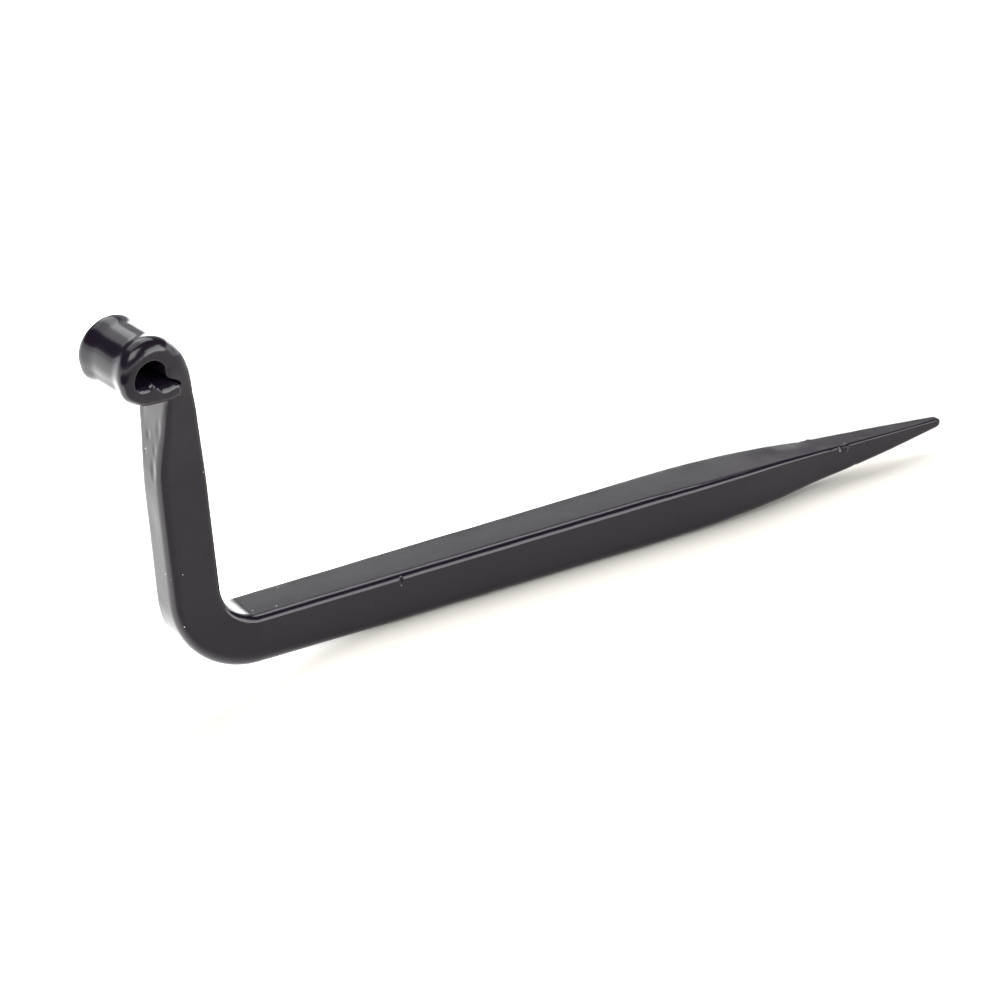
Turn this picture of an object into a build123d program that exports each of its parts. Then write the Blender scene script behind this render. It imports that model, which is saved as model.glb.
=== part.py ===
"""Drive-in L hook, forged from one length of square bar.

The long leg is drawn out to a four-sided spike.  The bar turns up through a
rounded corner into a short riser that leans a little outward.  The end of the
riser is flattened into a strip and rolled outward into an open eye.

Frame: X runs along the long leg towards the point, Y across the bar, Z up.
The origin is under the middle of the whole hook, on the face it lies on.
All lengths are in millimetres.
"""
from math import cos, radians, sin
import os

from build123d import *

# ---- driving dimensions ----
BAR = 8.0                 # side of the square bar
EDGE_SHARE = 0.15         # edge rounding, as a share of the thinner side of a section
OVERALL_LENGTH = 147.0    # back of the eye to the end of the point

POINT_LENGTH = 54.0       # length of the drawn-out spike
POINT_END = 1.5           # side of the point where its blunt end starts
POINT_TIP = 0.8           # side of the flat on the blunt end
POINT_BLUNT = 0.5         # length of the blunt end

BEND_INSIDE = 6.0         # inside radius of the corner
BEND_TURN = 83.3          # degrees that the bar turns, short of a right angle by the lean
CORNER_FROM_POINT = 122.0  # from the end of the point to the start of the corner
RISER_LENGTH = 34.0       # from the end of the corner to the foot of the eye

EYE_OUTSIDE = 11.6        # over the lips
EYE_WAIST = 10.6          # outside diameter half way along the roll
EYE_WIDTH = 11.5          # along the roll
EYE_HOLE = 5.8
EYE_HEIGHT = 53.4         # middle of the roll above the lying face
HOLE_OFFSET = 0.8         # the hole sits this far out and down from the middle of the roll
LIP_ROUND = 1.1
SEAM_GAP = 0.5            # slit that is left where the strip meets itself
SEAM_LENGTH = 2.4         # how far the slit runs into the wall
SEAM_SLOPE = -30.0        # degrees, from the hole down into the riser

# (share of the taper, side of the section) along the spike, from the shank to the blunt end
POINT_SECTIONS = [(0.0, BAR), (0.12, 7.85), (0.32, 7.1), (0.58, 5.0), (1.0, POINT_END)]
# (share of the turn, width across Y, thickness) through the corner
BEND_SECTIONS = [(0.0, BAR, BAR), (0.33, 7.4, 8.0), (0.67, 6.6, 8.1), (1.0, 6.1, 8.2)]
# (share of the length, width across Y, thickness) up the riser
RISER_SECTIONS = [(0.0, 6.1, 8.2), (0.55, 5.9, 8.2), (0.80, 7.2, 6.4), (1.0, 8.7, 5.0)]
# (distance past the riser, width across Y, thickness) of the strip that runs into the roll
STRIP_SECTIONS = [(0.0, 8.7, 5.0), (4.0, 10.2, 4.0), (7.5, 10.8, 2.7)]

# ---- places worked out from them ----
POINT_X = OVERALL_LENGTH / 2
SHANK_END_X = POINT_X - POINT_LENGTH
TAPER_LENGTH = POINT_LENGTH - POINT_BLUNT
BEND_X = POINT_X - CORNER_FROM_POINT
BEND_RADIUS = BEND_INSIDE + BAR / 2
BEND_HEIGHT = BEND_INSIDE + BAR
EYE_X = EYE_OUTSIDE / 2 - OVERALL_LENGTH / 2
LIP = EYE_OUTSIDE / 2
WAIST = EYE_WAIST / 2
HALF_WIDTH = EYE_WIDTH / 2
HOLE_X = EYE_X - HOLE_OFFSET
HOLE_HEIGHT = EYE_HEIGHT - HOLE_OFFSET


def bar_plane(x, z, turn):
    """Plane across the bar where it has turned by this many degrees from the long leg."""
    along = (-cos(radians(turn)), 0, sin(radians(turn)))
    return Plane(origin=(x, 0, z), x_dir=(0, 1, 0), z_dir=along)


def bend_plane(turn):
    """Plane across the bar inside the corner."""
    x = BEND_X - BEND_RADIUS * sin(radians(turn))
    z = BEND_HEIGHT - BEND_RADIUS * cos(radians(turn))
    return bar_plane(x, z, turn)


def riser_plane(distance):
    """Plane across the riser, at this distance past the end of the corner."""
    foot = bend_plane(BEND_TURN)
    place = foot.origin + foot.z_dir * distance
    return bar_plane(place.X, place.Z, BEND_TURN)


def bar_section(width, thickness):
    """Rounded rectangle, width across Y and thickness in the plane of the hook."""
    RectangleRounded(width, thickness, EDGE_SHARE * min(width, thickness))


# ---- spike: the long leg drawn out to a point, with a blunt end ----
with BuildPart() as spike_point:
    for share, side in POINT_SECTIONS:
        with BuildSketch(bar_plane(SHANK_END_X + share * TAPER_LENGTH, BAR / 2, 0)):
            bar_section(side, side)
    loft()
    for distance, side in [(TAPER_LENGTH, POINT_END), (POINT_LENGTH, POINT_TIP)]:
        with BuildSketch(bar_plane(SHANK_END_X + distance, BAR / 2, 0)):
            bar_section(side, side)
    loft()

# ---- shank: the straight bar as it came ----
with BuildPart() as shank:
    with BuildSketch(bar_plane(SHANK_END_X, BAR / 2, 0)):
        bar_section(BAR, BAR)
    extrude(amount=SHANK_END_X - BEND_X)

# ---- corner: the bar turned up, drawn a little narrower as it goes ----
with BuildPart() as corner_bend:
    for share, width, thickness in BEND_SECTIONS:
        with BuildSketch(bend_plane(share * BEND_TURN)):
            bar_section(width, thickness)
    loft()

# ---- riser: thinned in the plane of the hook and spread across it ----
with BuildPart() as riser:
    for share, width, thickness in RISER_SECTIONS:
        with BuildSketch(riser_plane(share * RISER_LENGTH)):
            bar_section(width, thickness)
    loft()

# ---- eye: the strip rolled outward, down and back to the riser ----
with BuildPart() as rolled_eye:
    for distance, width, thickness in STRIP_SECTIONS:
        with BuildSketch(riser_plane(RISER_LENGTH + distance)):
            bar_section(width, thickness)
    loft()
    with BuildSketch(Plane.XY.offset(EYE_HEIGHT)):
        with BuildLine(Location((EYE_X, 0, 0))):
            Line((0, -HALF_WIDTH), (LIP - LIP_ROUND, -HALF_WIDTH))
            JernArc((LIP - LIP_ROUND, -HALF_WIDTH), (1, 0), LIP_ROUND, 90)
            ThreePointArc((LIP, LIP_ROUND - HALF_WIDTH), (WAIST, 0), (LIP, HALF_WIDTH - LIP_ROUND))
            JernArc((LIP, HALF_WIDTH - LIP_ROUND), (0, 1), LIP_ROUND, 90)
            Line((LIP - LIP_ROUND, HALF_WIDTH), (0, HALF_WIDTH))
            Line((0, HALF_WIDTH), (0, -HALF_WIDTH))
        make_face()
    revolve(axis=Axis((EYE_X, 0, EYE_HEIGHT), (0, 1, 0)))
    with BuildSketch(Plane(origin=(HOLE_X, 0, HOLE_HEIGHT), x_dir=(1, 0, 0), z_dir=(0, 1, 0))):
        Circle(EYE_HOLE / 2)
        with Locations(Location((0, 0, 0), (0, 0, -SEAM_SLOPE))):
            Rectangle(EYE_HOLE / 2 + SEAM_LENGTH, SEAM_GAP, align=(Align.MIN, Align.CENTER))
    extrude(amount=EYE_WIDTH, both=True, mode=Mode.SUBTRACT)

# ---- one file for each forged region ----
REGIONS = {
    "spike_point": spike_point,
    "shank": shank,
    "corner_bend": corner_bend,
    "riser": riser,
    "rolled_eye": rolled_eye,
}
os.makedirs("parts", exist_ok=True)
for name, region in REGIONS.items():
    region.part.label = name
    export_step(region.part, f"parts/{name}.step")
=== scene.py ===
"""Looks of the forged drive-in hook: one square bar, bent, flattened and rolled, in a black coat.

The bar is modelled the way the smith works it.  Its section, a rounded rectangle, is carried along the
whole length: from the tip of the spike, along the shank, round the corner, up the riser and round the
rolled eye.  The grid that this makes is cut at the CAD model's regions, one closed piece for each CAD
node, and the pieces keep the normals of the whole bar, so that no joint shows between them.
Shapes are worked out in millimetres in the CAD model's frame: x along the shank, z up and y across.
"""

from math import cos, pi, radians, sin

import bpy
import numpy as np
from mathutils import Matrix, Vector, noise


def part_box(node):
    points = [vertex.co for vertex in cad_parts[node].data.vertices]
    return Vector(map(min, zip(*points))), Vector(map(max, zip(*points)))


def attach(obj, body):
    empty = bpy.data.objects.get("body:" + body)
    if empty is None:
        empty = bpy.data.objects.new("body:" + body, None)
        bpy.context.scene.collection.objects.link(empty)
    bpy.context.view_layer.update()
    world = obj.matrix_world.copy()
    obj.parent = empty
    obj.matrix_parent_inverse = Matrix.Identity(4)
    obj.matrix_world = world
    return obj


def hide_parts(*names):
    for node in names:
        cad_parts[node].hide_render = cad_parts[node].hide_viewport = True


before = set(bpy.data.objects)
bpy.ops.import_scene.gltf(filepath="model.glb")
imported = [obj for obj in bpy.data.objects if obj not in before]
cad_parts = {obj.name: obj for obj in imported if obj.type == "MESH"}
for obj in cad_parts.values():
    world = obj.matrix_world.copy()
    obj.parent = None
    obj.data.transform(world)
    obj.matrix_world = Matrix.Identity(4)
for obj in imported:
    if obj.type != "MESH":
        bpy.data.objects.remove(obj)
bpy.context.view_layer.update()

MM = 0.001


def box_mm(node_name):
    """Lowest and highest corner of a CAD node, in millimetres."""
    low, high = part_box(node_name)
    return low / MM, high / MM


# ---- the bar: its place and thickness come from the frame ----
SHANK_LOW, SHANK_HIGH = box_mm("shank")
POINT_X = box_mm("spike_point")[1].x
EYE_LOW, EYE_HIGH = box_mm("rolled_eye")
SPIKE_LENGTH = POINT_X - SHANK_HIGH.x
BAR = SHANK_HIGH.z - SHANK_LOW.z
WIDE = 1.03 * BAR               # the shank is a touch wider than it is high
EDGE = 0.15 * BAR               # rounding of the bar's upper edges
LOW_EDGE = 0.22 * BAR           # rounding of its lower edges
CROWN = 0.07                    # how far the hammered upper face stands up along its middle
ROUNDED_AT_MOST = 0.96          # share of a side that its two roundings may take

# ---- how finely it is drawn ----
CORNER_STEPS = 9                # round an edge of the section
FACE_STEPS = 22                 # across a face
SIDE_STEPS = 16                 # up a side
SPIKE_STATIONS = (8, 150, 80)   # along the bar: on the rounded end, up to CLOSE_TO and beyond it
SHANK_STATIONS = (70, 34, 50)   # before, beside and behind the nick
BEND_STATIONS = 60
RISER_STATIONS = 100
ROLL_STATIONS = 230
STRIP_END_STATIONS = 9

# ---- spike ----
BLUNT = 0.75                    # length of its rounded end
BLUNT_FROM = 0.15               # radians round that end at which the first station stands
CLOSE_TO = 30.0                 # the stations are closer together from the tip to here
TIP_RISE = 0.5                  # how far the tip stands above the middle of the shank
# distance from the tip, height and width
SPIKE_SIDES = [
    (0, 1.25, 1.2),
    (1.5, 1.55, 1.5),
    (12, 3.45, 3.35),
    (23, 5.15, 4.85),
    (30, 6.4, 6.35),
    (37, 7.15, 7.55),
    (46, 7.75, 8.25),
    (SPIKE_LENGTH, BAR, WIDE),
]
# distance from the tip, and the lower and upper edges' rounding against EDGE on a bar of that height
SPIKE_EDGES = [
    (0, 2.6, 1.8),
    (4, 1.9, 1.0),
    (9, 1.6, 0.75),
    (20, 1.4, 0.65),
    (40, 1.4, 0.8),
    (SPIKE_LENGTH, LOW_EDGE / EDGE, 1.0),
]

# ---- corner ----
BEND_INSIDE = 6.0
BEND_TURN = 83.3                # degrees
# share of the corner, inside radius, outside radius and width
BEND_SIDES = [
    (0, 6.0, 14.0, WIDE),
    (0.4, 5.95, 14.05, 7.2),
    (0.75, 5.9, 14.15, 6.2),
    (1, 5.85, 14.2, 5.8),
]

# ---- riser ----
RISER_LENGTH = 34.0
# share of the riser, from its axis to the outer and to the inner face, and width
RISER_SIDES = [
    (0, 4.2, 4.15, 5.8),
    (0.5, 4.25, 4.1, 5.75),
    (0.64, 4.1, 4.0, 5.8),
    (0.75, 3.65, 3.7, 6.4),
    (0.85, 3.1, 3.3, 7.3),
    (0.94, 2.7, 2.95, 8.0),
    (1, 2.4, 2.6, 8.5),
]
# share of the riser, and the outer and inner edges' rounding against EDGE
RISER_EDGES = [(0, 1.15, 1.0), (0.6, 1.2, 1.0), (1, 0.9, 0.8)]

# ---- eye ----
LIP_RADIUS = 5.35
HOLE_RADIUS = 2.7
EYE_WIDTH = 11.5
RING = np.array([EYE_LOW.x + 5.1, EYE_HIGH.z - 6.1])   # middle of the roll
HOLE = RING - np.array([0.62, 0.72])                    # middle of the hole
WAIST = 0.55                    # how far the roll draws in between its lips
LIP_FROM, LIP_AT = 2.0, 4.7     # where a lip starts and where it is widest, from the middle of the roll
YAW, TILT = 0.0875, 0.045       # slopes across the bar: the roll is out of square with the riser
FAR_LIP = 0.25                  # how much further it is spread on its far side
INNER_EDGE, OUTER_EDGE = 0.5, 2.5       # rounding of the strip's edges, inside and outside the roll
ROLL_ANGLES = np.arange(42, 206, 20)    # degrees about its middle: the round stretch of the roll
LEAD_IN = 9                     # stations back on the riser from which the roll takes its direction
ROLL_EASE = 40                  # stations over which the waist, the slopes and the far lip come in
STRIP_END = 0.55                # rounding of the strip's end
# Outline of the roll about the middle of its hole: back x, z, front x, z, width and the roundings of
# the back and front edges.  ROLL_START is the top of the riser, notched in its outer face where the end
# of the strip is tucked in.  ROLL_END is the end of the strip, dented twice on its inner side.
ROLL_START = [
    (4.48, -4.5, 8.93, -4.4, 9.0, 0.6, 1.1),
    (5.30, -3.3, 8.53, -3.1, 9.6, 0.3, 1.3),
    (5.75, -2.4, 8.13, -1.9, 10.1, 0.2, 1.5),
    (4.50, -1.5, 7.73, -0.8, 10.6, 0.3, 1.7),
    (3.30, -0.9, 7.33, 0.2, 11.0, 0.4, 1.9),
    (2.80, -0.1, 6.78, 1.4, 11.3, 0.7, 2.0),
    (2.60, 0.95, 5.88, 2.75, 11.4, 0.7, 2.0),
]
ROLL_END = [
    (-2.00, -1.05, -3.60, -3.00, 11.5, 0.8, 1.8),
    (-1.25, -1.05, -2.10, -4.15, 11.5, 1.2, 1.7),
    (-0.20, -1.05, -0.50, -4.66, 11.5, 1.2, 1.5),
    (0.50, -0.75, 0.70, -4.75, 11.5, 0.9, 1.4),
    (1.10, -1.10, 1.60, -4.75, 11.5, 1.6, 1.3),
    (1.95, -1.45, 2.50, -4.75, 11.4, 1.9, 1.2),
    (3.00, -1.55, 3.40, -4.75, 11.3, 1.9, 1.1),
    (4.05, -1.60, 4.20, -4.75, 11.1, 1.6, 1.1),
    (4.95, -2.05, 5.10, -4.70, 10.8, 1.0, 1.1),
]

# ---- marks of the hammer and of handling ----
# Nicks, or burrs where the depth is negative: x, y, z, half length along the bar and across it, depth.
# The first is the one in the shank.
NICKS = [
    (-24.0, -4.2, 6.9, 0.36, 0.80, 0.46),
    (55.6, -1.95, 5.7, 0.55, 0.79, -0.21),
    (54.5, -2.0, 6.0, 0.50, 0.71, 0.25),
    (53.0, -2.2, 6.3, 0.40, 0.57, 0.12),
    (59.3, -1.6, 5.5, 0.50, 0.71, 0.10),
    (51.6, 2.5, 6.5, 0.70, 1.00, -0.14),
    (57.4, -1.7, 2.3, 0.60, 0.86, 0.07),
    (49.8, 2.6, 6.6, 0.60, 0.86, 0.10),
]
NICK_REACH = 2                  # this far each side of it the shank's stations are closer together
# dents in the outer face of the riser: y, z, half width across, half length up, depth
DENTS = [
    (0.6, 40.0, 0.7, 1.1, 0.08),
    (-2.0, 41.8, 0.8, 2.2, 0.07),
    (1.2, 37.2, 0.5, 1.1, 0.04),
    (-1.2, 38.2, 0.6, 1.2, 0.06),
    (-0.9, 34.8, 0.9, 2.4, 0.12),
    (1.9, 43.8, 0.8, 3.0, 0.04),
    (0.6, 26.0, 1.6, 5.0, 0.04),
]
DENTED_X, DENTED_FADE = -62.0, 1.0      # beyond this x they come in, over this length
DENTED_FROM, DENTED_TO = 18, 47         # and the lowest and highest z that they reach
# the whole surface is a little wavy, with a finer ripple on the waves
WAVE_HEIGHT, WAVES_PER_MM = 0.035, 0.16
RIPPLE_SHARE, RIPPLES_PER_MM = 0.4, 0.5


# ---- curves ----
def smooth(keys, at):
    """Monotone cubic through (place, value...) keys: no overshoot between them."""
    keys = np.array(keys, float)
    x, y = keys[:, 0], keys[:, 1:]
    step = np.diff(x)[:, None]
    slope = np.diff(y, axis=0) / step
    mean = slope[:-1] * slope[1:]
    inner = np.where(mean > 0, 2 * mean / (slope[:-1] + slope[1:] + 1e-12), 0.0)
    tangent = np.vstack([slope[:1], inner, slope[-1:]])
    i = np.clip(np.searchsorted(x, at, side="right") - 1, 0, len(x) - 2)
    t = ((at - x[i]) / step[i, 0])[:, None]
    h = step[i]
    return (
        (2 * t**3 - 3 * t**2 + 1) * y[i]
        + (t**3 - 2 * t**2 + t) * h * tangent[i]
        + (-2 * t**3 + 3 * t**2) * y[i + 1]
        + (t**3 - t**2) * h * tangent[i + 1]
    )


def rounded_line(points, at):
    """Catmull-Rom curve through the points, at these point numbers."""
    points = np.array(points, float)
    padded = np.vstack([2 * points[0] - points[1], points, 2 * points[-1] - points[-2]])
    i = np.clip(at.astype(int), 0, len(points) - 2)
    t = (at - i)[:, None]
    a, b, c, d = padded[i], padded[i + 1], padded[i + 2], padded[i + 3]
    return 0.5 * (
        2 * b + (c - a) * t + (2 * a - 5 * b + 4 * c - d) * t**2 + (3 * b - a - 3 * c + d) * t**3
    )


def swell(distance):
    """Smooth bump, 1 at distance 0 and 0 from 1 on."""
    return np.clip(1 - distance**2, 0, None) ** 2


# ---- the five regions of the bar, as rows of stations from the tip to the end of the strip ----
def section_rows(back, front, width, back_edge, front_edge):
    """One row per station: back x, z, front x, z, width, back edge rounding, front edge rounding.

    The back runs along the underside, outside the corner, up the outer face and then inside the roll.
    """
    count = len(back)
    columns = [np.broadcast_to(np.asarray(c, float), count) for c in (width, back_edge, front_edge)]
    return np.column_stack([back, front, *columns])


def spike_rows():
    """Four-sided taper with a blunt, rounded end."""
    on_end, up_to, beyond = SPIKE_STATIONS
    end = BLUNT * (1 - np.cos(np.linspace(BLUNT_FROM, pi / 2, on_end)))
    fine = np.linspace(BLUNT, CLOSE_TO, up_to)[1:]
    coarse = np.linspace(CLOSE_TO, SPIKE_LENGTH, beyond)[1:]
    d = np.concatenate([end, fine, coarse])
    dome = np.sqrt(np.clip(1 - (1 - np.minimum(d / BLUNT, 1)) ** 2, 0, 1))[:, None]
    height, width = (smooth(SPIKE_SIDES, d) * dome).T
    axis = BAR / 2 + TIP_RISE * (1 - d / SPIKE_LENGTH) ** 4
    x = POINT_X - d
    back = np.column_stack([x, axis - height / 2])
    front = np.column_stack([x, axis + height / 2])
    edge = (EDGE / BAR * height)[:, None] * smooth(SPIKE_EDGES, d)
    return section_rows(back, front, width, edge[:, 0], edge[:, 1])


def shank_rows():
    """The straight bar, with closer stations round the nick in its near edge."""
    nick_x = NICKS[0][0]
    before, beside, behind = SHANK_STATIONS
    x = np.concatenate([
        np.linspace(SHANK_HIGH.x, nick_x + NICK_REACH, before),
        np.linspace(nick_x + NICK_REACH, nick_x - NICK_REACH, beside)[1:],
        np.linspace(nick_x - NICK_REACH, SHANK_LOW.x, behind)[1:],
    ])
    back = np.column_stack([x, np.full_like(x, SHANK_LOW.z)])
    front = np.column_stack([x, np.full_like(x, SHANK_HIGH.z)])
    return section_rows(back, front, WIDE, LOW_EDGE, EDGE)


def bend_rows():
    """The corner, drawn narrower as the bar turns up."""
    share = np.linspace(0, 1, BEND_STATIONS)
    turn = radians(BEND_TURN) * share
    inside, outside, width = smooth(BEND_SIDES, share).T
    centre = np.array([SHANK_LOW.x, BAR + BEND_INSIDE])
    ray = -np.column_stack([np.sin(turn), np.cos(turn)])
    back = centre + outside[:, None] * ray
    front = centre + inside[:, None] * ray
    riser_edge = RISER_EDGES[0][1] * EDGE
    return section_rows(back, front, width, LOW_EDGE + (riser_edge - LOW_EDGE) * share, EDGE)


def riser_frame():
    """Foot of the riser's axis, its direction, and the direction across it to the spike side."""
    turn = radians(BEND_TURN)
    radius = BEND_INSIDE + BAR / 2
    foot = np.array([SHANK_LOW.x - radius * sin(turn), BAR + BEND_INSIDE - radius * cos(turn)])
    return foot, np.array([-cos(turn), sin(turn)]), np.array([sin(turn), cos(turn)])


def riser_rows():
    """The short leg: thinned in the plane of the hook and spread across it towards the eye."""
    foot, up, across = riser_frame()
    share = np.linspace(0, 1, RISER_STATIONS)
    outer, inner, width = smooth(RISER_SIDES, share).T
    axis = foot + share[:, None] * RISER_LENGTH * up
    back = axis - outer[:, None] * across
    front = axis + inner[:, None] * across
    edge = EDGE * smooth(RISER_EDGES, share).T
    return section_rows(back, front, width, edge[0], edge[1])


def roll_rows(riser):
    """The strip rolled outward, over, down and back, with its end rounded off."""
    turned = []
    for angle in np.radians(ROLL_ANGLES):
        ray = np.array([cos(angle), sin(angle)])
        inside = HOLE_RADIUS * ray
        outside = RING - HOLE + LIP_RADIUS * ray
        turned.append([*inside, *outside, EYE_WIDTH, INNER_EDGE, OUTER_EDGE])
    outline = np.vstack([ROLL_START, turned, ROLL_END])
    outline[:, 0:2] += HOLE
    outline[:, 2:4] += HOLE
    keys = np.vstack([riser[-LEAD_IN], riser[-1], outline])
    return rounded_end(rounded_line(keys, np.linspace(1, len(keys) - 1, ROLL_STATIONS)))


def rounded_end(rows):
    """Adds stations past the last one that close the strip with a rounded edge."""
    last = rows[-1]
    ahead = (rows[-1, :4] - rows[-4, :4]).reshape(2, 2).mean(axis=0)
    ahead /= np.linalg.norm(ahead)
    across = last[2:4] - last[0:2]
    across /= np.linalg.norm(across)
    added = []
    for angle in np.linspace(0, pi / 2, STRIP_END_STATIONS)[1:]:
        inset = STRIP_END * (1 - cos(angle))
        row = last.copy()
        row[0:2] += ahead * STRIP_END * sin(angle) + across * inset
        row[2:4] += ahead * STRIP_END * sin(angle) - across * inset
        row[4] -= 2 * inset
        row[5:] *= 1 - sin(angle) / 2
        added.append(row)
    return np.vstack([rows, added])


# ---- from rows to one skin ----
def section_points(rows):
    """Points (station, round the section, xyz) and the share of the thickness at which each stands."""
    back, front = rows[:, 0:2], rows[:, 2:4]
    width, back_edge, front_edge = rows[:, 4:].T
    thick = np.linalg.norm(front - back, axis=1)
    across = (front - back) / thick[:, None]
    scale = np.minimum(1, ROUNDED_AT_MOST * np.minimum(thick, width) / (back_edge + front_edge))
    rb, rf = back_edge * scale, front_edge * scale
    half = width / 2
    crown = CROWN * np.minimum(1, width / WIDE) ** 3
    corner = np.linspace(0, pi / 2, CORNER_STEPS + 1)
    face = np.linspace(0, 1, FACE_STEPS + 1)[1:-1]
    side = np.linspace(0, 1, SIDE_STEPS + 1)[1:-1]
    u, v = [], []

    def arc(cu, cv, radius, start):
        """Quarter circle round this centre, from this angle on."""
        for angle in corner + start:
            u.append(cu + radius * cos(angle))
            v.append(cv + radius * sin(angle))

    def line(u0, v0, u1, v1, shares, bulge):
        """Side without its ends, standing out by bulge along its middle."""
        for share in shares:
            u.append(u0 + (u1 - u0) * share)
            v.append(v0 + (v1 - v0) * share + 4 * bulge * share * (1 - share))

    arc(half - rb, rb, rb, -pi / 2)
    line(half, rb, half, thick - rf, side, 0)
    arc(half - rf, thick - rf, rf, 0)
    line(half - rf, thick, rf - half, thick, face, crown)
    arc(rf - half, thick - rf, rf, pi / 2)
    line(-half, thick - rf, -half, rb, side, 0)
    arc(rb - half, rb, rb, pi)
    line(rb - half, 0 * rb, half - rb, 0 * rb, face, 0)
    u, v = np.array(u).T, np.array(v).T
    xz = back[:, None, :] + v[:, :, None] * across[:, None, :]
    return np.stack([xz[:, :, 0], u, xz[:, :, 1]], axis=2), v / thick[:, None]


def grid_normals(points):
    """Unit normals of the grid, pointing out of the bar."""
    along = np.gradient(points, axis=0)
    around = np.roll(points, -1, axis=1) - np.roll(points, 1, axis=1)
    normal = np.cross(along, around)
    normal /= np.linalg.norm(normal, axis=2, keepdims=True) + 1e-12
    return normal


def relief(points):
    """How far the surface stands out of, or into, the ideal section, in millimetres."""
    x, y, z = points[..., 0], points[..., 1], points[..., 2]
    height = np.zeros(x.shape)
    for nx, ny, nz, along, across, depth in NICKS:
        gap = np.sqrt(((x - nx) / along) ** 2 + ((y - ny) / across) ** 2 + ((z - nz) / across) ** 2)
        height -= depth * swell(gap)
    on_outer_face = np.clip((DENTED_X - x) / DENTED_FADE, 0, 1) * (z > DENTED_FROM) * (z < DENTED_TO)
    for dy, dz, across, up, depth in DENTS:
        gap = np.sqrt(((y - dy) / across) ** 2 + ((z - dz) / up) ** 2)
        height -= depth * swell(gap) * on_outer_face
    wave = [
        noise.noise(Vector(p) * WAVES_PER_MM) + RIPPLE_SHARE * noise.noise(Vector(p) * RIPPLES_PER_MM)
        for p in points.reshape(-1, 3)
    ]
    height += WAVE_HEIGHT * np.array(wave).reshape(x.shape)
    return height


def shape_eye(points, depth_share, rows, first_roll):
    """Draws in the roll's waist and turns the roll out of square, both coming in from the riser on."""
    share = np.clip((np.arange(len(rows)) - first_roll) / ROLL_EASE, 0, 1)
    share = (share * share * (3 - 2 * share))[:, None]
    flare = np.clip((np.abs(points[..., 1]) - LIP_FROM) / (LIP_AT - LIP_FROM), 0, 1)
    waist = WAIST * (1 - flare**2 * (3 - 2 * flare)) * share
    across = rows[:, 2:4] - rows[:, 0:2]
    across /= np.linalg.norm(across, axis=1, keepdims=True)
    pull = (waist * depth_share)[..., None] * across[:, None, :]
    points[..., 0] -= pull[..., 0]
    points[..., 2] -= pull[..., 1]
    points[..., 0] -= YAW * points[..., 1] * share
    points[..., 2] += TILT * (points[..., 1] + LIP_AT) * share
    points[..., 1] += FAR_LIP * np.clip(points[..., 1] / LIP_AT, 0, 1) * share


def forge():
    """The whole bar: points, normals, and the first and last station of each region."""
    riser = riser_rows()
    regions = {
        "spike_point": spike_rows(),
        "shank": shank_rows(),
        "corner_bend": bend_rows(),
        "riser": riser,
        "rolled_eye": roll_rows(riser),
    }
    rows = regions["spike_point"][:1]
    spans = {}
    for name, more in regions.items():
        start = len(rows) - 1
        rows = np.vstack([rows, more[1:]])
        spans[name] = (start, len(rows) - 1)
    points, depth_share = section_points(rows)
    shape_eye(points, depth_share, rows, spans["rolled_eye"][0])
    points += grid_normals(points) * relief(points)[..., None]
    return points, grid_normals(points), spans


def piece_from(name, points, normals):
    """Closed mesh of one region: the skin and a flat end at each side, with the bar's own normals."""
    stations, around = points.shape[:2]
    number = np.arange(stations * around).reshape(stations, around)
    turned = np.roll(number, -1, axis=1)
    skin = np.stack([number[:-1], number[1:], turned[1:], turned[:-1]], axis=2).reshape(-1, 4)
    faces = skin.tolist() + [number[0].tolist(), number[-1][::-1].tolist()]
    mesh = bpy.data.meshes.new(name)
    mesh.from_pydata((points.reshape(-1, 3) * MM).tolist(), [], faces)
    mesh.polygons.foreach_set("use_smooth", [True] * len(faces))
    ends = []
    for ring, sign in ((points[0], 1), (points[-1], -1)):
        edges = np.roll(ring, -1, axis=0) - ring
        normal = np.cross(ring - ring.mean(axis=0), edges).sum(axis=0) * sign
        ends.append(np.tile(normal / np.linalg.norm(normal), (around, 1)))
    loop_normals = np.vstack([normals.reshape(-1, 3)[skin.ravel()], *ends])
    mesh.normals_split_custom_set(loop_normals.tolist())
    mesh.validate()
    piece = bpy.data.objects.new(name, mesh)
    bpy.context.scene.collection.objects.link(piece)
    return piece


# ---- materials: textures are laid out in the object's own metres ----
COAT_DARK = (0.0044, 0.0028, 0.0064, 1)
COAT_LIGHT = (0.0066, 0.0044, 0.0094, 1)
COAT_ROUGHNESS = (0.13, 0.21)
PATCH_RANGE = (0.3, 0.7)            # of the noise, over which the roughness goes from low to high
COAT_IOR = 1.38
DUST_COLOUR = (0.42, 0.42, 0.40, 1)
DUST_CELLS, DUST_SIZE = 560.0, 0.055
DUST_FREE = (0.40, 0.97)            # share of the cells with no speck, on the riser and on the shank
DUST_ALONG = (-0.055, -0.035)       # x over which the first gives way to the second
DUST_UP_TO = (0.034, 0.046)         # z over which dust ends, below the eye
TABLE_WHITE = (0.66, 0.645, 0.600, 1)
# painted light: the table emits light behind the hook, in place of a backlight's bright pool on the
# floor
PAINTED_GLOW_START = (0.004, 0.018)         # y behind a slanting line over which the painted pool of light on the table comes in
PAINTED_GLOW_SLANT = 0.30
PAINTED_GLOW_END = (3.0, 8.0)               # distance from the middle over which it fades
PAINTED_GLOW_STRENGTH = 3.0
# painted shade: black of a card that only reflections see
REFLECTION_SHADE_BLACK = (0.01, 0.01, 0.01, 1)


def new_material(name):
    """Material with its node tree and its main shader."""
    material = bpy.data.materials.new(name)
    material.use_nodes = True
    tree = material.node_tree
    return material, tree, tree.nodes["Principled BSDF"]


def node(tree, kind, **values):
    """New node, with these properties or input values."""
    made = tree.nodes.new(kind)
    for key, value in values.items():
        if hasattr(made, key):
            setattr(made, key, value)
        else:
            made.inputs[key.replace("_", " ")].default_value = value
    return made


def object_place(tree):
    """Position on the object, in metres."""
    return node(tree, "ShaderNodeTexCoord").outputs["Object"]


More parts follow.
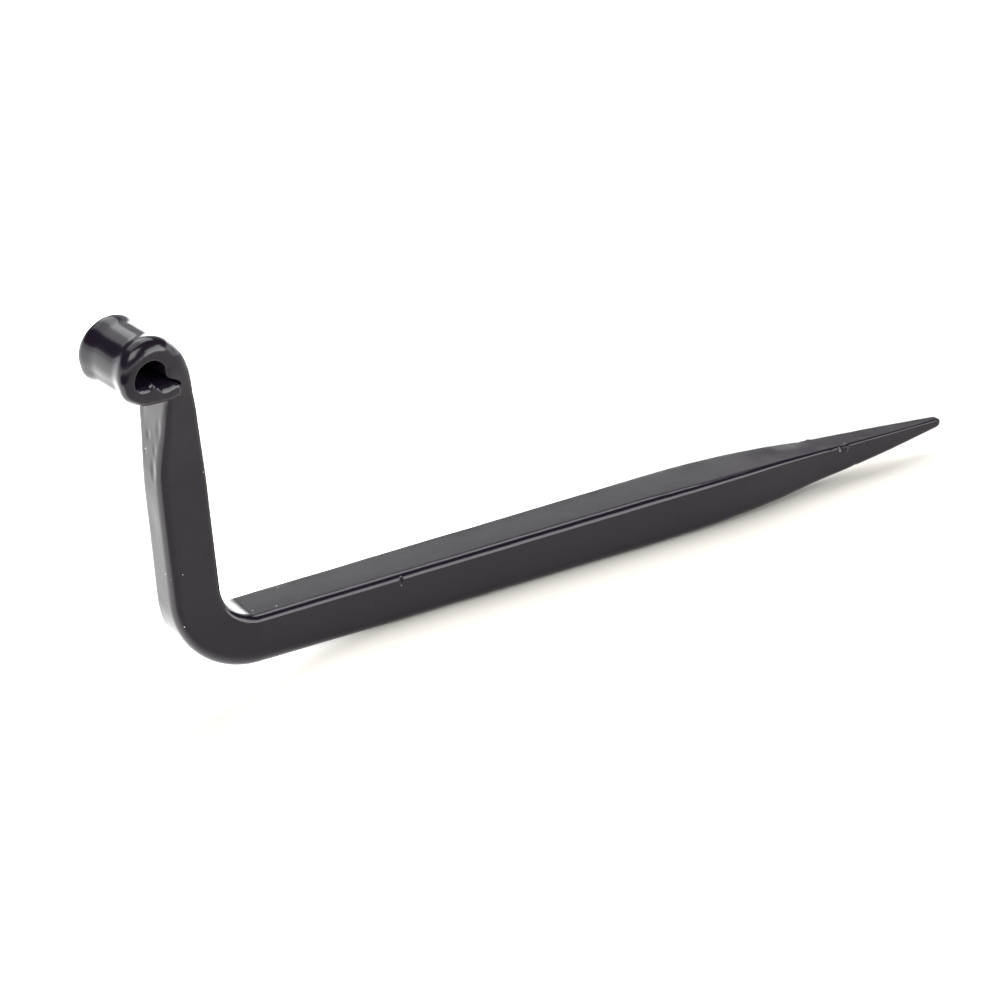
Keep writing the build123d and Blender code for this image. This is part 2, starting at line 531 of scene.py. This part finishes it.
def fade_between(tree, value, start, end, low, high):
    """Soft change from low to high as value goes from start to end."""
    fade = node(tree, "ShaderNodeMapRange", interpolation_type="SMOOTHSTEP")
    tree.links.new(value, fade.inputs["Value"])
    fade.inputs["From Min"].default_value = start
    fade.inputs["From Max"].default_value = end
    fade.inputs["To Min"].default_value = low
    fade.inputs["To Max"].default_value = high
    return fade.outputs["Result"]


def coat_tone(tree, place):
    """Near-black that varies a little from patch to patch."""
    tone = node(tree, "ShaderNodeTexNoise", Scale=160.0, Detail=3.0, Roughness=0.6)
    tree.links.new(place, tone.inputs["Vector"])
    shade = node(tree, "ShaderNodeMix", data_type="RGBA")
    shade.inputs["A"].default_value = COAT_DARK
    shade.inputs["B"].default_value = COAT_LIGHT
    tree.links.new(tone.outputs["Fac"], shade.inputs["Factor"])
    return shade.outputs["Result"]


def dust_specks(tree, place):
    """1 on a speck of dust: some on the riser and corner, hardly any on the shank, none on the eye."""
    link = tree.links.new
    speck = node(tree, "ShaderNodeTexVoronoi", Scale=DUST_CELLS, Randomness=1.0)
    link(place, speck.inputs["Vector"])
    small = node(tree, "ShaderNodeMath", operation="LESS_THAN")
    link(speck.outputs["Distance"], small.inputs[0])
    small.inputs[1].default_value = DUST_SIZE
    chance = node(tree, "ShaderNodeSeparateColor")
    link(speck.outputs["Color"], chance.inputs["Color"])
    parts = node(tree, "ShaderNodeSeparateXYZ")
    link(place, parts.inputs[0])
    least = node(tree, "ShaderNodeMath", operation="MAXIMUM")
    link(fade_between(tree, parts.outputs["X"], *DUST_ALONG, *DUST_FREE), least.inputs[0])
    link(fade_between(tree, parts.outputs["Z"], *DUST_UP_TO, 0.0, 1.0), least.inputs[1])
    rare = node(tree, "ShaderNodeMath", operation="GREATER_THAN")
    link(chance.outputs["Red"], rare.inputs[0])
    link(least.outputs[0], rare.inputs[1])
    dust = node(tree, "ShaderNodeMath", operation="MULTIPLY")
    link(small.outputs[0], dust.inputs[0])
    link(rare.outputs[0], dust.inputs[1])
    return dust.outputs[0]


def uneven_gloss(tree, place):
    """Roughness that changes from patch to patch."""
    patch = node(tree, "ShaderNodeTexNoise", Scale=90.0, Detail=4.0, Roughness=0.55)
    tree.links.new(place, patch.inputs["Vector"])
    gloss = node(tree, "ShaderNodeMapRange")
    tree.links.new(patch.outputs["Fac"], gloss.inputs["Value"])
    gloss.inputs["From Min"].default_value = PATCH_RANGE[0]
    gloss.inputs["From Max"].default_value = PATCH_RANGE[1]
    gloss.inputs["To Min"].default_value = COAT_ROUGHNESS[0]
    gloss.inputs["To Max"].default_value = COAT_ROUGHNESS[1]
    return gloss.outputs["Result"]


def orange_peel(tree, place):
    """Fine bumps of a sprayed or dipped coat."""
    peel = node(tree, "ShaderNodeTexNoise", Scale=900.0, Detail=2.0, Roughness=0.5)
    tree.links.new(place, peel.inputs["Vector"])
    bump = node(tree, "ShaderNodeBump", Strength=0.10, Distance=0.00004)
    tree.links.new(peel.outputs["Fac"], bump.inputs["Height"])
    return bump.outputs["Normal"]


def black_coat():
    """Semi-gloss black coat over forged steel: orange peel, uneven gloss and a little dust."""
    material, tree, shader = new_material("black_coat")
    link = tree.links.new
    place = object_place(tree)
    colour = node(tree, "ShaderNodeMix", data_type="RGBA")
    link(dust_specks(tree, place), colour.inputs["Factor"])
    link(coat_tone(tree, place), colour.inputs["A"])
    colour.inputs["B"].default_value = DUST_COLOUR
    link(colour.outputs["Result"], shader.inputs["Base Color"])
    link(uneven_gloss(tree, place), shader.inputs["Roughness"])
    link(orange_peel(tree, place), shader.inputs["Normal"])
    shader.inputs["IOR"].default_value = COAT_IOR
    return material


def table_with_painted_glow():
    """Matt white, with a painted pool of backdrop light: the table itself glows, beginning under the
    hook and fading far away from it.
    """
    material, tree, shader = new_material("table_with_painted_glow")
    link = tree.links.new
    shader.inputs["Base Color"].default_value = TABLE_WHITE
    shader.inputs["Roughness"].default_value = 0.9
    shader.inputs["Specular IOR Level"].default_value = 0.0
    place = object_place(tree)
    parts = node(tree, "ShaderNodeSeparateXYZ")
    link(place, parts.inputs[0])
    behind = node(tree, "ShaderNodeMath", operation="MULTIPLY_ADD")
    link(parts.outputs["X"], behind.inputs[0])
    behind.inputs[1].default_value = -PAINTED_GLOW_SLANT
    link(parts.outputs["Y"], behind.inputs[2])
    # painted light: the glow's brightness, rising behind the slanting line and fading far away
    rise = fade_between(tree, behind.outputs[0], *PAINTED_GLOW_START, 0.0, PAINTED_GLOW_STRENGTH)
    away = node(tree, "ShaderNodeVectorMath", operation="LENGTH")
    link(place, away.inputs[0])
    fall = fade_between(tree, away.outputs["Value"], *PAINTED_GLOW_END, 1.0, 0.0)
    both = node(tree, "ShaderNodeMath", operation="MULTIPLY")
    link(rise, both.inputs[0])
    link(fall, both.inputs[1])
    shader.inputs["Emission Color"].default_value = (1, 1, 1, 1)
    link(both.outputs[0], shader.inputs["Emission Strength"])
    return material


def reflection_shade_black():
    """Matt black of the card that paints shade into reflections."""
    material, _, shader = new_material("reflection_shade_black")
    shader.inputs["Base Color"].default_value = REFLECTION_SHADE_BLACK
    shader.inputs["Roughness"].default_value = 1.0
    return material


# ---- stage: places and sizes in metres ----
TABLE_HALF = 9.0
TABLE_DROP = 0.00002            # the table lies this far under the bar, so that no two faces coincide
# place of the black card that paints shade into reflections
FLAG_LEFT, FLAG_RIGHT = -0.60, -0.14
FLAG_FRONT, FLAG_BACK = -0.50, 0
FLAG_LIFT = 0.001


def sheet(name, left, right, front, back, height, material):
    """Flat level rectangle."""
    mesh = bpy.data.meshes.new(name)
    corners = [(left, front, 0), (right, front, 0), (right, back, 0), (left, back, 0)]
    mesh.from_pydata(corners, [], [(0, 1, 2, 3)])
    mesh.materials.append(material)
    made = bpy.data.objects.new(name, mesh)
    bpy.context.scene.collection.objects.link(made)
    made.location.z = height
    return made


def lay_table():
    """The wide table that the hook lies on."""
    half = TABLE_HALF
    floor = sheet("table", -half, half, -half, half, -TABLE_DROP, table_with_painted_glow())


def lay_reflection_shade_flag():
    """Black card on the table, left of the view, seen in reflections only: painted shade in what the
    coat reflects.
    """
    flag = sheet("flag", FLAG_LEFT, FLAG_RIGHT, FLAG_FRONT, FLAG_BACK, FLAG_LIFT, reflection_shade_black())
    flag.visible_camera = False
    flag.visible_diffuse = False
    flag.visible_shadow = False


# ---- camera: long lens, from the eye's side, a little above; in metres ----
AZIMUTH = radians(-34.0)
ELEVATION = radians(26.22)
DISTANCE = 6.5
SPAN = 0.14556                  # width of the view at the object
AIM_RIGHT, AIM_UP = -0.00332, 0.01055


def aim_camera():
    """Camera at the viewing angle, framed by its place and not by shift."""
    back = Vector((sin(AZIMUTH) * cos(ELEVATION), -cos(AZIMUTH) * cos(ELEVATION), sin(ELEVATION)))
    right = Vector((cos(AZIMUTH), sin(AZIMUTH), 0))
    up = back.cross(right)
    lens = bpy.data.cameras.new("camera")
    lens.sensor_width = 36.0
    lens.lens = lens.sensor_width * DISTANCE / SPAN
    lens.clip_end = 50.0
    camera = bpy.data.objects.new("camera", lens)
    bpy.context.scene.collection.objects.link(camera)
    camera.location = right * AIM_RIGHT + up * AIM_UP + back * DISTANCE
    camera.rotation_mode = "QUATERNION"
    camera.rotation_quaternion = (-back).to_track_quat("-Z", "Y")
    bpy.context.scene.camera = camera


# ---- light, in metres ----
# name, place, the point it faces, width, height and brightness
SOFTBOXES = [
    ("overhead_left", (-0.30, 0.62, 1.0), (-0.30, 0.62, 0), 0.60, 1.50, 2.6),
    ("overhead_back", (0.30, 0.97, 1.0), (0.30, 0.97, 0), 0.60, 0.96, 6.0),
    ("overhead_right", (0.34, 0.20, 1.0), (0.34, 0.20, 0), 0.70, 0.52, 6.0),
    ("front_right", (0.61, -0.99, 0.34), (0, 0, 0.02), 0.9, 0.66, 6.6),
    ("front_left", (-0.62, -0.80, 1.05), (-0.05, 0, 0.02), 0.75, 0.65, 7.5),
    ("back_right", (1.00, 1.03, 0.86), (0, 0, 0.02), 1.9, 0.50, 1.2),
    ("back_low", (1.05, 1.05, 0.24), (0, 0, 0.02), 2.1, 0.40, 3.2),
]
BACKDROP_GLOW = 3.0
BACKDROP_TO = 0.10              # height of the direction up to which the backdrop is fully bright
ROOM_FROM = 0.24                # and from which there is only the dark room
ROOM_TONE = (0.045, 0.045, 0.045, 1)


def softbox(name, place, aim, width, height, radiance):
    """Rectangular area light at place, facing aim, with this brightness."""
    light = bpy.data.lights.new(name, "AREA")
    light.shape = "RECTANGLE"
    light.size = width
    light.size_y = height
    light.energy = radiance * pi * width * height
    lamp = bpy.data.objects.new(name, light)
    bpy.context.scene.collection.objects.link(lamp)
    lamp.location = place
    lamp.rotation_mode = "QUATERNION"
    lamp.rotation_quaternion = (Vector(place) - Vector(aim)).to_track_quat("Z", "Y")
    lamp.visible_camera = False


def studio_world():
    """White for the camera; in reflections a bright low backdrop under a dark room."""
    world = bpy.data.worlds.new("studio")
    bpy.context.scene.world = world
    world.use_nodes = True
    tree = world.node_tree
    link = tree.links.new
    tree.nodes.clear()
    direction = node(tree, "ShaderNodeTexCoord").outputs["Generated"]
    parts = node(tree, "ShaderNodeSeparateXYZ")
    link(direction, parts.inputs[0])
    band = node(tree, "ShaderNodeValToRGB")
    link(parts.outputs["Z"], band.inputs["Fac"])
    low, high = band.color_ramp.elements
    band.color_ramp.interpolation = "EASE"
    low.position = BACKDROP_TO
    low.color = (1, 1, 1, 1)
    high.position = ROOM_FROM
    high.color = ROOM_TONE
    glow = node(tree, "ShaderNodeBackground", Strength=BACKDROP_GLOW)
    link(band.outputs["Color"], glow.inputs["Color"])
    white = node(tree, "ShaderNodeBackground", Strength=1.0)
    white.inputs["Color"].default_value = (1, 1, 1, 1)
    path = node(tree, "ShaderNodeLightPath")
    pick = node(tree, "ShaderNodeMixShader")
    link(path.outputs["Is Camera Ray"], pick.inputs["Fac"])
    link(glow.outputs[0], pick.inputs[1])
    link(white.outputs[0], pick.inputs[2])
    out = node(tree, "ShaderNodeOutputWorld")
    link(pick.outputs[0], out.inputs["Surface"])


# ---- put it together ----
coat = black_coat()
points, normals, spans = forge()
for node_name, (first, last) in spans.items():
    piece = piece_from(f"forged_{node_name}", points[first:last + 1], normals[first:last + 1])
    piece.data.materials.append(coat)
    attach(piece, "root")
    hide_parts(node_name)

lay_table()
aim_camera()
for lamp_values in SOFTBOXES:
    softbox(*lamp_values)
lay_reflection_shade_flag()
studio_world()
bpy.context.scene.view_settings.view_transform = "Standard"
